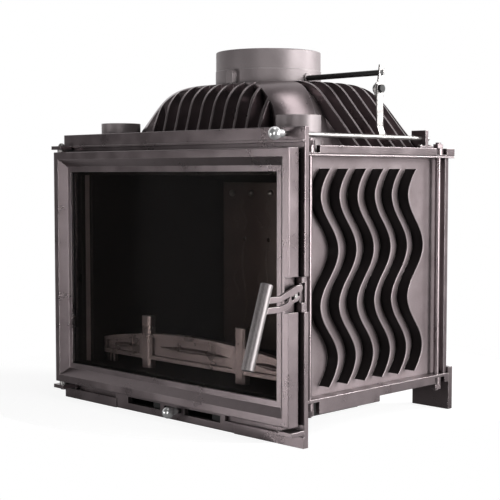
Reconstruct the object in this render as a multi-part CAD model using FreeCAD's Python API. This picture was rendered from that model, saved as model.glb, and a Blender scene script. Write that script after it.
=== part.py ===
import FreeCAD, Part
import math
import os

# Cast-iron fireplace insert. Sizes are in millimetres. While the pieces are built, X runs to the right
# from the middle of the front plate, Y runs back from the plate's front face and Z runs up from the ground.
# save() then moves every piece so that the origin is the middle of the footprint.

# Front plate
plate_width = 640.0
plate_height = 518.0
plate_thick = 9.0
plate_edge_round = 1.2
mouth_width = 524.0
mouth_bottom = 78.0
mouth_head = 78.0
drip_lip_out = 4.0
drip_lip_thick = 3.5
drip_lip_drop = 21.5
rail_height = 18.0
rail_proud = 2.0
rail_start = 160.0
hollow_starts = (163.0, 136.0)
hollow_depth = 7.5
hollow_height = 20.0
land_width = 18.0
land_proud = 0.5

# Body shell
plate_overlap = 25.0
body_depth = 442.0
base_top = 69.0
base_thick = 5.0
base_rim_low = 43.0
base_rim_high = 53.0
base_rim_step = 225.0
roof_drop = 46.5
roof_thick = 5.5
roof_rim_rise = 17.5
roof_groove_height = 2.4
roof_groove_depth = 1.5
roof_lip_thick = 2.1
rim_thick = 8.0
rim_start = 65.0
rim_gap = 15.0
back_thick = 10.0
back_inset = 5.0
leg_width = 83.5
leg_thick = 12.0
leg_height = 80.0

# Side panels and their wavy fins
panel_inset = 24.0
panel_thick = 8.0
fin_count = 6
fin_pitch = 47.0
fin_first = 92.5
fin_thick = 5.0
fin_swing = 22.5
fin_waves = 2
fin_foot_gap = 16.0
fin_head_gap = 20.5
fin_set_back = 0.5
fin_round = 1.2
wave_points = 8

# Tie rods
tie_rod_radius = 5.0
tie_rod_inset = 9.0
tie_rod_front = 48.0
tie_rod_back_inset = 39.0
tie_boss_radius = 9.0
tie_boss_bottom = 50.0
tie_rod_end = 3.0
nut_height = 8.0
nut_flats = 17.0

# Flue hood, collar and damper
flue_y = 247.3
hood_inset = 13.5
hood_front = 68.0
hood_back_inset = 14.0
hood_rise = 121.0
hood_side_lean = 41.5
hood_front_lean = 15.5
hood_back_lean = 8.0
hood_shoulder = 62.0
hood_corner_foot = 120.0
hood_corner_top = 95.0
hood_levels = 8
valley_levels = 15
hood_wall = 8.0
rib_height = 24.0
rib_drop = 18.0
rib_thick = 5.0
front_rib_count = 10
front_rib_pitch = 31.5
side_rib_count = 6
side_rib_pitch = 33.0
side_rib_first = 181.3
front_floor_inset = 131.5
front_floor_top = 30.0
front_lean_power = 2.6
front_edge_inset = 103.5
front_edge_top = 89.0
side_floor_gap = 23.5
side_valley_run = 42.0
side_valley_lean = 50.0
side_bay_end_gap = 15.0
collar_radius = 100.0
collar_wall = 8.0
collar_rim_round = 2.0
collar_height = 62.5
collar_foot_height = 26.0
collar_foot_step = 0.8
collar_lug_width = 15.0
collar_lug_out = 12.0
collar_lug_height = 24.0
collar_lug_turn = 4.0
collar_seat_margin = 12.0
damper_gap = 3.0
damper_thick = 4.0
damper_hub_radius = 9.0
shaft_radius = 5.0
shaft_lift = 9.5
shaft_boss_radius = 9.5
shaft_boss_out = 3.0

# Damper linkage
rod_inset = 12.0
rod_lift = 17.5
rod_radius = 4.0
rod_tail = 15.0
rod_pull = 18.0
rod_push = 10.0
damper_ratio = 1.9
crank_drop = 28.5
crank_lead = 8.0
crank_set_in = 9.5
crank_thick = 3.0
crank_width = 22.0
crank_bar_width = 14.0
crank_tail = 7.0
crank_peak = 6.0
link_pin_radius = 3.5
link_slot_room = 2.3
link_gap = 0.6
upright_thick = 3.0
upright_width = 16.0
upright_bend_lift = 7.5
upright_bend_rise = 11.0
guide_y = 352.0
guide_thick = 8.0
guide_width = 32.0
guide_height = 32.0
guide_foot_length = 38.0
guide_foot_thick = 4.0

# Round ball knobs
knob_radius = 10.8
knob_out = 30.7
ferrule_radius = 6.5
ferrule_length = 7.0

# Upper air spigots and the duct behind the door's head
spigot_inset = 59.0
spigot_y = 76.0
spigot_radius = 38.0
spigot_wall = 5.0
spigot_height = 63.0
spigot_foot_height = 28.0
spigot_foot_step = 0.8
spigot_hose_room = 5.0
duct_lift = 4.0
duct_sheet = 2.5
duct_front = 20.0
duct_depth = 98.0

# Firebox lining
lining_thick = 7.7
lining_front = 20.0
back_lining_space = 45.0
back_lining_head = 47.5
side_lining_drop = 4.0
baffle_thick = 10.0
baffle_front = 150.0
baffle_rise = 33.0
baffle_lap = 9.0
hearth_thick = 6.0
grate_width = 211.0
grate_depth = 161.0
grate_y = 210.0
grate_thick = 10.0
grate_ledge = 10.0
grate_slots = 9
grate_slot_width = 10.0
lining_bolt_count = 9
lining_bolt_pitch = 57.0
lining_bolt_drop = 22.0
lining_bolt_radius = 4.0
bolt_head_radius = 7.0
bolt_head_height = 5.0
air_hole_height = 305.0
air_hole_radius = 5.0
air_hole_first = 50.0
air_hole_pitch = 71.0
air_hole_pairs = 3
ridge_proud = 1.2
ridge_width = 2.4
ridge_swing = 7.0
ridge_lower = (8.0, 170.0)
ridge_lower_small = (70.0, 60.0)
ridge_upper = (-82.0, 62.0)
ridge_upper_small = (-50.0, 28.0)
ridge_small_shift = 24.0

# Log guard
guard_y = 46.0
guard_thick = 14.0
guard_end_gap = 2.0
guard_low = 92.2
guard_end_high = 123.0
guard_mid_high = 145.0
guard_rim = 7.5
guard_side_rim = 6.0
guard_panel_depth = 6.0
guard_leaf_end_gap = 11.0
guard_leaf_rise = 5.5
guard_leaf_height = 5.0
guard_leaf_top_share = 0.85
guard_leaf_ridge = 0.8
guard_post_x = 126.5
guard_post_width = 24.0
guard_post_lead = 1.5
guard_post_chamfer = 4.0
guard_post_height = 98.5
guard_foot_count = 3
guard_foot_width = 5.0
guard_foot_pitch = 10.0

# Primary air: slots in the plate, slider behind it, box below the base
slot_left_start = -127.0
slot_right_start = 31.0
slot_length = 93.0
slot_bottom = 13.0
slot_height = 12.0
slider_thick = 3.0
slider_height = 17.0
slider_cover = 30.0
slider_margin = 9.0
slider_left = 36.0
slider_right = 4.0
slider_rail_size = 3.0
slider_rail_lap = 2.0
stem_x = 16.0
stem_radius = 4.0
air_knob_out = 25.0
air_box_half_width = 175.0
air_box_depth = 300.0
air_box_bottom = 5.0
air_box_sheet = 2.0

# Door
door_margin = 7.0
door_bottom = 36.0
door_head = 34.0
door_thick = 23.2
door_gap = 7.2
door_edge_round = 1.5
frame_flat = 14.0
frame_bevel = 14.0
frame_bevel_depth = 13.0
frame_inner = 10.0
frame_lip_thick = 5.0
glass_thick = 4.0
glass_overlap = 6.0
rope_width = 9.0
rope_inset = 14.0
rope_groove_depth = 3.0
clip_length = 40.0
clip_width = 14.0
clip_thick = 2.5
clip_grip = 5.0
clip_screw_radius = 2.0
clip_screw_head_radius = 3.6
clip_screw_head = 1.6
clip_screw_length = 7.0

# Hinges
hinge_inset = 17.4
hinge_pin_radius = 4.0
hinge_tab_width = 30.0
hinge_tab_out = 30.0
hinge_tab_thick = 7.0
hinge_tab_low = 22.0
hinge_tab_gap = 5.0
hinge_bush_radius = 8.0
hinge_pin_in_door = 30.0
hinge_pin_head_radius = 6.0
hinge_pin_head = 3.0

# Latch and handle
latch_bottom = 221.0
latch_height = 57.0
latch_notch_depth = 9.0
keeper_out = 3.0
keeper_inset = 3.0
keeper_pocket = 4.2
keeper_web = 8.0
keeper_slot_bottom = 236.0
keeper_slot_top = 268.0
lever_pivot_height = 248.0
lever_pin_radius = 3.5
lever_pin_length = 11.0
lever_thick = 5.0
lever_stand_off = 0.4
lever_hub_radius = 9.0
prong_half_width = 4.7
prong_upper_height = 245.5
prong_lower_height = 229.5
prong_bend_out = 54.0
prong_root_out = 31.0
nose_out = 6.5
nose_height = 260.5
lever_dimple_radius = 3.3
lever_dimple_depth = 4.0
lever_dimple_spread = 7.5
lever_dimple_slope = 22.0
grip_radius = 10.0
grip_set_in = 3.4
grip_head_out = 75.9
grip_head_height = 270.8
grip_foot_out = 119.6
grip_foot_height = 139.0
grip_end_round = 2.0

# Clearances
run_gap = 0.05
slip_gap = 0.15
part_gap = 0.3

# Sizes that follow from the ones above
plate_half = plate_width / 2
body_half = plate_half - plate_overlap
door_half = plate_half - door_margin
door_back = -door_gap
door_front = -(door_gap + door_thick)
door_top = plate_height - door_head
door_height = door_top - door_bottom
door_middle = (door_bottom + door_top) / 2
frame_width = frame_flat + frame_bevel + frame_inner
hinge_x = -(plate_half - hinge_inset)
hinge_y = (door_front + door_back) / 2
hinge_tab_high = door_top + hinge_tab_gap
mouth_top = plate_height - mouth_head
roof_bottom = plate_height - roof_drop
roof_top = roof_bottom + roof_thick
roof_rim_top = roof_bottom + roof_rim_rise
base_bottom = base_top - base_thick
base_back = body_depth - leg_thick
panel_outer = body_half - panel_inset
panel_inner = panel_outer - panel_thick
back_inner = base_back - back_thick
back_lining_y = back_inner - back_lining_space
back_lining_top = roof_bottom - back_lining_head
lining_bolt_height = back_lining_top - lining_bolt_drop
baffle_back = back_lining_y + baffle_lap
duct_floor = mouth_top + duct_lift
side_lining_brow = duct_floor - side_lining_drop
fin_bottom = base_top + fin_foot_gap
fin_top = roof_bottom - fin_head_gap
lining_inner = panel_inner - part_gap - lining_thick
guard_half_length = lining_inner - guard_end_gap
hearth_top = base_top + hearth_thick
tie_rod_x = body_half - tie_rod_inset
tie_rod_back = body_depth - tie_rod_back_inset
rim_gap_start = tie_rod_back - rim_gap
rim_gap_end = tie_rod_back + rim_gap
hood_half_width = body_half - hood_inset
front_floor_foot = hood_half_width - front_floor_inset
front_floor_lean = front_floor_foot - front_floor_top
front_edge_foot = hood_half_width - front_edge_inset
front_edge_lean = front_edge_foot - front_edge_top
hood_back = body_depth - hood_back_inset
hood_top = roof_rim_top + hood_rise
side_floor_start = side_rib_first - side_floor_gap
spigot_x = body_half - spigot_inset
shaft_height = hood_top + shaft_lift
rod_x = body_half - rod_inset
rod_height = roof_rim_top + rod_lift
rod_end = guide_y + guide_thick + rod_tail
crank_x = rod_x - crank_set_in
upright_bend_low = rod_height + upright_bend_lift
upright_bend_high = upright_bend_low + upright_bend_rise
collar_bore = collar_radius - collar_wall
collar_top = hood_top + collar_height
slot_top = slot_bottom + slot_height
slot_middle = slot_bottom + slot_height / 2
pivot_y = hinge_y
lever_x = door_half + lever_stand_off
grip_x = lever_x - grip_set_in
keeper_x = plate_half - latch_notch_depth - door_gap + part_gap
latch_top = latch_bottom + latch_height
grip_tilt = math.atan2(grip_foot_out - grip_head_out, grip_head_height - grip_foot_height)
grip_rim_out = grip_foot_out - grip_end_round * math.sin(grip_tilt)
handle_reach = grip_rim_out + (grip_radius - grip_end_round) * math.cos(grip_tilt) + grip_end_round
footprint_shift = (handle_reach - body_depth) / 2
link_y = flue_y - crank_lead
link_z = shaft_height - crank_drop
past = 1.0

sides = (-1, 1)
x_axis = FreeCAD.Vector(1, 0, 0)
y_axis = FreeCAD.Vector(0, 1, 0)
z_axis = FreeCAD.Vector(0, 0, 1)
middle = FreeCAD.Vector(0, 0, 0)

os.makedirs("parts", exist_ok=True)


def save(node, *solids):
    shape = solids[0] if len(solids) == 1 else Part.makeCompound(list(solids))
    moved = shape.copy()
    moved.translate(FreeCAD.Vector(0, footprint_shift, 0))
    moved.exportStep("parts/" + node + ".step")


def box(x0, x1, y0, y1, z0, z1):
    return Part.makeBox(x1 - x0, y1 - y0, z1 - z0, FreeCAD.Vector(x0, y0, z0))


def bar_x(radius, x0, x1, y, z):
    return Part.makeCylinder(radius, x1 - x0, FreeCAD.Vector(x0, y, z), x_axis)


def bar_y(radius, y0, y1, x, z):
    return Part.makeCylinder(radius, y1 - y0, FreeCAD.Vector(x, y0, z), y_axis)


def bar_z(radius, z0, z1, x, y):
    return Part.makeCylinder(radius, z1 - z0, FreeCAD.Vector(x, y, z0), z_axis)


def mirrored(shape):
    return shape.mirror(middle, x_axis)


def both_sides(shape):
    return [shape, mirrored(shape)]


def polygon_face(points):
    return Part.Face(Part.makePolygon(points + [points[0]]))


def slab_along_x(outline, x0, x1):
    face = polygon_face([FreeCAD.Vector(x0, y, z) for y, z in outline])
    return face.extrude(FreeCAD.Vector(x1 - x0, 0, 0))


def slab_along_y(outline, y0, y1):
    face = polygon_face([FreeCAD.Vector(x, y0, z) for x, z in outline])
    return face.extrude(FreeCAD.Vector(0, y1 - y0, 0))


def fused(first, others):
    return first.multiFuse(others).removeSplitter()


def hexagon_along_z(flats, z0, z1, x, y):
    corner = flats / math.sqrt(3)
    turns = [math.radians(60 * step) for step in range(6)]
    points = [FreeCAD.Vector(x + corner * math.cos(t), y + corner * math.sin(t), z0) for t in turns]
    return polygon_face(points).extrude(FreeCAD.Vector(0, 0, z1 - z0))


def hexagon_along_y(flats, y0, y1, x, z):
    corner = flats / math.sqrt(3)
    turns = [math.radians(60 * step) for step in range(6)]
    points = [FreeCAD.Vector(x + corner * math.cos(t), y0, z + corner * math.sin(t)) for t in turns]
    return polygon_face(points).extrude(FreeCAD.Vector(0, y1 - y0, 0))


def front_edges(shape, y):
    def offset(edge):
        return abs(edge.BoundBox.YMin - y) + abs(edge.BoundBox.YMax - y)
    return [edge for edge in shape.Edges if offset(edge) < slip_gap]


def frame_ring(inset_outer, inset_inner, y0, y1):
    # A rectangular ring that lies inside the door's outline.
    def block(inset, reach):
        return box(-door_half + inset, door_half - inset, y0 - reach, y1 + reach,
                   door_bottom + inset, door_top - inset)
    return block(inset_outer, 0).cut(block(inset_inner, past))


# Places that several pieces share
tie_rod_places = [(side * tie_rod_x, y) for side in sides for y in (tie_rod_front, tie_rod_back)]
head_lug_x = 155.0
foot_lug_x = 215.0
lug_width = 30.0
lug_depth = 8.0
lug_height = 20.0
plate_bolt_radius = 4.0
plate_bolt_bite = 6.0
head_lug_z = roof_bottom - lug_height / 2
foot_lug_z = base_bottom - lug_height / 2
plate_bolt_pairs = ((head_lug_x, head_lug_z), (foot_lug_x, foot_lug_z))
plate_bolt_places = [(side * x, z) for side in sides for x, z in plate_bolt_pairs]
lining_bolt_xs = [(i - (lining_bolt_count - 1) / 2) * lining_bolt_pitch for i in range(lining_bolt_count)]
leg_bolt_radius = 3.0
leg_bolt_inset = 18.0
leg_bolt_z = (base_rim_high + base_bottom) / 2
leg_bolt_pair = (body_half - leg_bolt_inset, body_half - leg_width + leg_bolt_inset)
leg_bolt_xs = [side * x for side in sides for x in leg_bolt_pair]
keeper_screw_radius = 2.5
keeper_screw_length = 26.0
keeper_screw_head = 3.0
keeper_screw_head_radius = 4.4
keeper_screw_zs = ((latch_bottom + keeper_slot_bottom) / 2, (latch_top + keeper_slot_top) / 2)
keeper_screw_y = plate_thick / 2
guide_middle_y = guide_y + guide_thick / 2
guide_screw_radius = 2.0
guide_screw_ys = [guide_middle_y + side * (guide_foot_length / 2 - rim_thick / 2) for side in sides]
guide_screw_bite = 8.0
guide_x0 = body_half - guide_width
collar_dowel_radius = 3.0
collar_dowel_r = collar_radius + collar_lug_out / 2
collar_dowel_bite = 8.0
collar_turn = math.radians(collar_lug_turn)
collar_dowel_x = collar_dowel_r * math.sin(collar_turn)
collar_dowel_y = collar_dowel_r * math.cos(collar_turn)
collar_dowel_places = [(-side * collar_dowel_x, flue_y + side * collar_dowel_y) for side in sides]
clip_screw_inset = (rope_inset + rope_width + frame_width - glass_overlap) / 2


def lug(x, y0, z0, z1):
    return box(x - lug_width / 2, x + lug_width / 2, y0, y0 + lug_depth, z0, z1)


# Front plate: one casting with the door's mouth, the hinge tabs, the air slots and the damper rod's hole
def hinge_tab(side, z):
    x0 = side * plate_half
    x1 = side * (plate_half - hinge_tab_width)
    return box(min(x0, x1), max(x0, x1), -hinge_tab_out, 0, z, z + hinge_tab_thick)


def front_plate():
    plate = box(-plate_half, plate_half, 0, plate_thick, 0, plate_height)
    plate = plate.makeFillet(plate_edge_round, front_edges(plate, 0))
    lip_top = plate_height - drip_lip_drop
    proud = [box(-plate_half, plate_half, -drip_lip_out, past, lip_top - drip_lip_thick, lip_top)]
    proud += both_sides(box(rail_start, plate_half, -rail_proud, past, 0, rail_height))
    land_back = plate_thick + land_proud
    proud += both_sides(box(plate_half - land_width, plate_half, past, land_back, 0, plate_height))
    proud += [hinge_tab(-1, hinge_tab_high), hinge_tab(-1, hinge_tab_low), hinge_tab(1, hinge_tab_low)]
    plate = fused(plate, proud)
    through = -hinge_tab_out - past
    behind = land_back + past
    cuts = [box(-mouth_width / 2, mouth_width / 2, through, behind, mouth_bottom, mouth_top)]
    for start in (slot_left_start, slot_right_start):
        cuts.append(box(start, start + slot_length, -past, behind, slot_bottom, slot_top))
    stem_room = stem_radius + part_gap
    cuts.append(box(stem_x - slider_left, stem_x + slider_right, -past, behind,
                    slot_middle - stem_room, slot_middle + stem_room))
    for end in (stem_x - slider_left, stem_x + slider_right):
        cuts.append(bar_y(stem_room, -past, behind, end, slot_middle))
    for side, start in zip(sides, hollow_starts):
        end = plate_half - hinge_tab_width - rail_proud
        cuts.append(box(min(side * start, side * end), max(side * start, side * end), -past, hollow_depth,
                        rail_height, rail_height + hollow_height))
    cuts.append(box(keeper_x - slip_gap, plate_half + past, -past, behind,
                    latch_bottom - slip_gap, latch_top + slip_gap))
    for z in keeper_screw_zs:
        screw_end = plate_half - keeper_screw_length - past
        cuts.append(bar_x(keeper_screw_radius + slip_gap, screw_end, plate_half, keeper_screw_y, z))
    for z in (hinge_tab_low, hinge_tab_high):
        tab_top = z + hinge_tab_thick + past
        cuts.append(bar_z(hinge_pin_radius + run_gap, z - past, tab_top, hinge_x, hinge_y))
    cuts.append(bar_y(rod_radius + run_gap, -past, behind, rod_x, rod_height))
    for x, z in plate_bolt_places:
        cuts.append(bar_y(plate_bolt_radius + slip_gap, plate_thick - plate_bolt_bite, behind, x, z))
    save("front_plate", plate.cut(cuts))


def plate_bolts():
    bolts = []
    for x, z in plate_bolt_places:
        seat = plate_thick + lug_depth
        shank = bar_y(plate_bolt_radius, plate_thick - plate_bolt_bite + part_gap, seat, x, z)
        bolts.append(shank.fuse(hexagon_along_y(2 * bolt_head_radius, seat, seat + bolt_head_height, x, z)))
    save("plate_bolts", *bolts)


# Base plate: floor of the body, with a rim that hangs below it and a boss for each tie rod
def base_plate():
    slab = box(-body_half, body_half, plate_thick, base_back, base_bottom, base_top)
    rim_inner = body_half - rim_thick
    rims = both_sides(box(rim_inner, body_half, rim_start, rim_gap_start, base_rim_high, base_top))
    rims += both_sides(box(rim_inner, body_half, rim_start, base_rim_step, base_rim_low, base_top))
    rims += both_sides(box(rim_inner, body_half, rim_gap_end, base_back, base_rim_high, base_top))
    rims.append(box(-body_half, body_half, base_back - rim_thick, base_back, base_rim_high, base_top))
    rims += [bar_z(tie_boss_radius, tie_boss_bottom, base_top, x, y) for x, y in tie_rod_places]
    rims += [lug(side * foot_lug_x, plate_thick, base_bottom - lug_height, base_top) for side in sides]
    plate = fused(slab, rims)
    half_x = grate_width / 2 - grate_ledge
    half_y = grate_depth / 2 - grate_ledge
    cuts = [box(-half_x, half_x, grate_y - half_y, grate_y + half_y, base_bottom - past, base_top + past)]
    cuts += [bar_z(tie_rod_radius + slip_gap, 0, plate_height, x, y) for x, y in tie_rod_places]
    for x, z in plate_bolt_places:
        cuts.append(bar_y(plate_bolt_radius + slip_gap, 0, plate_thick + lug_depth + past, x, z))
    rim_front = base_back - rim_thick - past
    for x in leg_bolt_xs:
        cuts.append(bar_y(leg_bolt_radius + slip_gap, rim_front, base_back + past, x, leg_bolt_z))
    save("base_plate", plate.cut(cuts))


# Top plate: roof of the body, with a raised rim, a groove below it and holes for the hood and spigots
def top_plate():
    slab = box(-body_half, body_half, plate_thick, body_depth, roof_bottom, roof_top)
    rim_inner = body_half - rim_thick
    rims = both_sides(box(rim_inner, body_half, rim_start, rim_gap_start, roof_bottom, roof_rim_top))
    rims += both_sides(box(rim_inner, body_half, rim_gap_end, body_depth, roof_bottom, roof_rim_top))
    rims.append(box(-body_half, body_half, body_depth - rim_thick, body_depth, roof_bottom, roof_rim_top))
    rims += [bar_z(tie_boss_radius, roof_bottom, roof_rim_top, x, y) for x, y in tie_rod_places]
    rims += [lug(side * head_lug_x, plate_thick, roof_bottom - lug_height, roof_top) for side in sides]
    plate = fused(slab, rims)
    groove_z = roof_bottom + roof_lip_thick
    cuts = both_sides(box(body_half - roof_groove_depth, body_half + past, 0, body_depth + past,
                          groove_z, groove_z + roof_groove_height))
    inset = rib_height + hood_wall
    cuts.append(box(-hood_half_width + 2 * inset, hood_half_width - 2 * inset,
                    hood_front + 2 * inset, hood_back - 2 * inset, roof_bottom - past, roof_top + past))
    spigot_bore = spigot_radius - spigot_wall
    for side in sides:
        cuts.append(bar_z(spigot_bore, roof_bottom - past, roof_top + past, side * spigot_x, spigot_y))
    cuts += [bar_z(tie_rod_radius + slip_gap, 0, plate_height, x, y) for x, y in tie_rod_places]
    for x, z in plate_bolt_places:
        cuts.append(bar_y(plate_bolt_radius + slip_gap, 0, plate_thick + lug_depth + past, x, z))
    for y in guide_screw_ys:
        bite = roof_rim_top - guide_screw_bite
        x = body_half - rim_thick / 2
        cuts.append(bar_z(guide_screw_radius + slip_gap, bite, roof_rim_top + past, x, y))
    save("top_plate", plate.cut(cuts))


# Side panels: flat castings whose outer face carries upright wavy fins
def wavy_ribbon(start, across, width, waves, swing, height):
    # A flat ribbon that climbs from its start and swings to both sides along the direction across.
    samples = wave_points * waves

    def edge_curve(offset):
        points = []
        for i in range(samples + 1):
            rise = height * i / samples
            reach = offset + swing * math.sin(2 * math.pi * waves * i / samples)
            points.append(start + across * reach + z_axis * rise)
        curve = Part.BSplineCurve()
        curve.interpolate(points)
        return curve.toShape(), points

    near, near_points = edge_curve(-width / 2)
    far, far_points = edge_curve(width / 2)
    foot = Part.makeLine(near_points[0], far_points[0])
    head = Part.makeLine(near_points[-1], far_points[-1])
    return Part.Face(Part.Wire(Part.__sortEdges__([near, head, far, foot])))


def wavy_fin(y_middle):
    start = FreeCAD.Vector(panel_outer, y_middle, fin_bottom)
    face = wavy_ribbon(start, y_axis, fin_thick, fin_waves, fin_swing, fin_top - fin_bottom)
    tip_x = body_half - fin_set_back
    fin = face.extrude(FreeCAD.Vector(tip_x - panel_outer, 0, 0))
    tips = [edge for edge in fin.Edges if edge.BoundBox.XMin > tip_x - slip_gap]
    long_tips = [edge for edge in tips if edge.BoundBox.ZLength > fin_swing]
    return fin.makeFillet(fin_round, long_tips)


def side_panels():
    panel = box(panel_inner, panel_outer, plate_thick, back_inner, base_top, roof_bottom)
    panel = fused(panel, [wavy_fin(fin_first + i * fin_pitch) for i in range(fin_count)])
    save("side_panel_right", panel)
    save("side_panel_left", mirrored(panel))


# Back panel and the two rear legs bolted to the base
def back_panel():
    half = body_half - back_inset
    panel = box(-half, half, back_inner, base_back, base_top, roof_bottom)
    hole_radius = lining_bolt_radius + slip_gap
    holes = [bar_y(hole_radius, back_inner - past, base_back + past, x, lining_bolt_height)
             for x in lining_bolt_xs]
    save("back_panel", panel.cut(holes))


def rear_legs():
    sink = body_depth - bolt_head_height
    for side, node in zip(sides, ("rear_leg_left", "rear_leg_right")):
        x0 = side * (body_half - leg_width)
        x1 = side * body_half
        leg = box(min(x0, x1), max(x0, x1), base_back, body_depth, 0, leg_height)
        holes = [bar_y(leg_bolt_radius + slip_gap, base_back - past, body_depth + past, x, leg_bolt_z)
                 for x in leg_bolt_xs]
        sinks = [bar_y(bolt_head_radius + slip_gap, sink, body_depth + past, x, leg_bolt_z)
                 for x in leg_bolt_xs]
        save(node, leg.cut(holes + sinks))


def leg_bolts():
    bolts = []
    for x in leg_bolt_xs:
        seat = body_depth - bolt_head_height
        shank = bar_y(leg_bolt_radius, base_back - rim_thick, seat, x, leg_bolt_z)
        bolts.append(shank.fuse(bar_y(bolt_head_radius, seat, body_depth - part_gap, x, leg_bolt_z)))
    save("leg_bolts", *bolts)


# Tie rods that clamp the panels between base and top, with a nut at each end
def tie_rods():
    low = tie_boss_bottom - nut_height - tie_rod_end
    high = roof_rim_top + nut_height + tie_rod_end
    save("tie_rods", *[bar_z(tie_rod_radius, low, high, x, y) for x, y in tie_rod_places])
    nuts = []
    for x, y in tie_rod_places:
        hole = bar_z(tie_rod_radius + slip_gap, 0, plate_height, x, y)
        low_nut = hexagon_along_z(nut_flats, tie_boss_bottom - nut_height, tie_boss_bottom, x, y)
        nuts.append(low_nut.cut(hole))
        high_nut = hexagon_along_z(nut_flats, roof_rim_top, roof_rim_top + nut_height, x, y)
        nuts.append(high_nut.cut(hole))
    save("tie_rod_nuts", *nuts)


# Flue hood: a rectangle-to-round casting with ribs that fill its flat bays
def hood_reach(foot, lean, z, top):
    # The wall's reach at a height: a leaning line that rolls over a round shoulder to the flat top.
    slope = math.radians(lean)
    centre_z = top - hood_shoulder
    bend_z = centre_z + hood_shoulder * math.sin(slope)
    if z <= bend_z:
        return foot - (z - roof_rim_top) * math.tan(slope)
    bend = foot - (bend_z - roof_rim_top) * math.tan(slope)
    centre = bend - hood_shoulder * math.cos(slope)
    return centre + math.sqrt(max(hood_shoulder ** 2 - (z - centre_z) ** 2, 0))


def rounded_outline(half_x, y0, y1, radius, z):
    diagonal = radius * math.sqrt(0.5)
    edges = []
    corners = ((1, y0, 1), (1, y1, -1), (-1, y1, -1), (-1, y0, 1))
    arcs = []
    for index, (side, y, inward) in enumerate(corners):
        centre = FreeCAD.Vector(side * (half_x - radius), y + inward * radius, z)
        along_x = centre + FreeCAD.Vector(side * radius, 0, 0)
        along_y = centre + FreeCAD.Vector(0, -inward * radius, 0)
        halfway = centre + FreeCAD.Vector(side * diagonal, -inward * diagonal, 0)
        first, last = (along_y, along_x) if index % 2 == 0 else (along_x, along_y)
        arcs.append((first, halfway, last))
    for index, (first, halfway, last) in enumerate(arcs):
        edges.append(Part.Arc(first, halfway, last).toShape())
        edges.append(Part.makeLine(last, arcs[(index + 1) % len(arcs)][0]))
    return Part.Wire(edges)


def hood_section(inset, drop, z):
    # Half width, front, back and corner radius of the hood at a height, drawn in and lowered.
    top = hood_top - drop
    level = min(max(z, roof_rim_top), top)
    rest = math.sqrt((top - level) / (top - roof_rim_top))
    half_x = hood_reach(hood_half_width - inset, hood_side_lean, level, top)
    y0 = flue_y - hood_reach(flue_y - hood_front - inset, hood_front_lean, level, top)
    y1 = flue_y + hood_reach(hood_back - flue_y - inset, hood_back_lean, level, top)
    corner = hood_corner_top + (hood_corner_foot - hood_corner_top) * rest
    return half_x, y0, y1, min(corner, (y1 - y0) / 2 - past)


def hood_heights(top, levels):
    steps = levels - 1
    return [top - (top - roof_rim_top) * (1 - level / steps) ** 2 for level in range(levels)]


def hood_envelope(inset, drop):
    heights = hood_heights(hood_top - drop, hood_levels)
    wires = [rounded_outline(*hood_section(inset, drop, z), z) for z in heights]
    dome = Part.makeLoft(wires, True, False)
    skirt = Part.Face(wires[0]).extrude(FreeCAD.Vector(0, 0, roof_top - roof_rim_top))
    return dome.fuse(skirt).removeSplitter()


def corner_depth(over, corner):
    # How far a rounded corner falls back once it has run a distance past its straight side.
    run = min(max(over, 0), corner)
    return corner - math.sqrt(corner ** 2 - run ** 2)


def front_y(x, inset, drop, z):
    half_x, y0, y1, corner = hood_section(inset, drop, z)
    return y0 + corner_depth(x - (half_x - corner), corner)


def side_x(y, inset, drop, z):
    half_x, y0, y1, corner = hood_section(inset, drop, z)
    return half_x - corner_depth(y0 + corner - y, corner)


def valley(edge_place, floor_place, away):
    # The end of a bay: a wall that slopes from the hood's skin down to the bay's floor.
    wires = []
    for z in hood_heights(hood_top, valley_levels):
        edge = FreeCAD.Vector(*edge_place(z), z)
        floor = FreeCAD.Vector(*floor_place(z), z)
        wires.append(Part.makePolygon([edge, floor, floor + away, edge + away, edge]))
    skirt = Part.Face(wires[0]).extrude(z_axis * (roof_top - past - roof_rim_top))
    return Part.makeLoft(wires, True, True).fuse(skirt)


def rise_share(z):
    return max(z - roof_rim_top, 0) / hood_rise


def front_end(foot, lean, z):
    # How far out the front bay reaches at a height: its ends draw in faster towards the top.
    return foot - lean * rise_share(z) ** front_lean_power


def front_recess(floor, low, high):
    # The front bay between its ribs. A long sloped wall at each end swallows the head of the end rib.
    seat_y = flue_y - collar_radius - collar_seat_margin

    def edge_place(z):
        x = front_end(front_edge_foot, front_edge_lean, z)
        return x, min(front_y(x, 0, 0, z), seat_y) - past

    def floor_place(z):
        x = front_end(front_floor_foot, front_floor_lean, z)
        return x, min(front_y(x, rib_height, rib_drop, z), seat_y)

    heights = [low] + hood_heights(hood_top, valley_levels) + [high]
    right = [(front_end(front_floor_foot, front_floor_lean, min(z, hood_top)) + past, z) for z in heights]
    bay = slab_along_y(right + [(-x, z) for x, z in reversed(right)], 0, seat_y)
    bay = bay.multiFuse(both_sides(valley(edge_place, floor_place, y_axis * -flue_y)))
    ribs = []
    for i in range(front_rib_count):
        x = (i - (front_rib_count - 1) / 2) * front_rib_pitch
        ribs.append(box(x - rib_thick / 2, x + rib_thick / 2, -flue_y, flue_y, low - past, high + past))
    return bay.cut([floor] + ribs)


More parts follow.
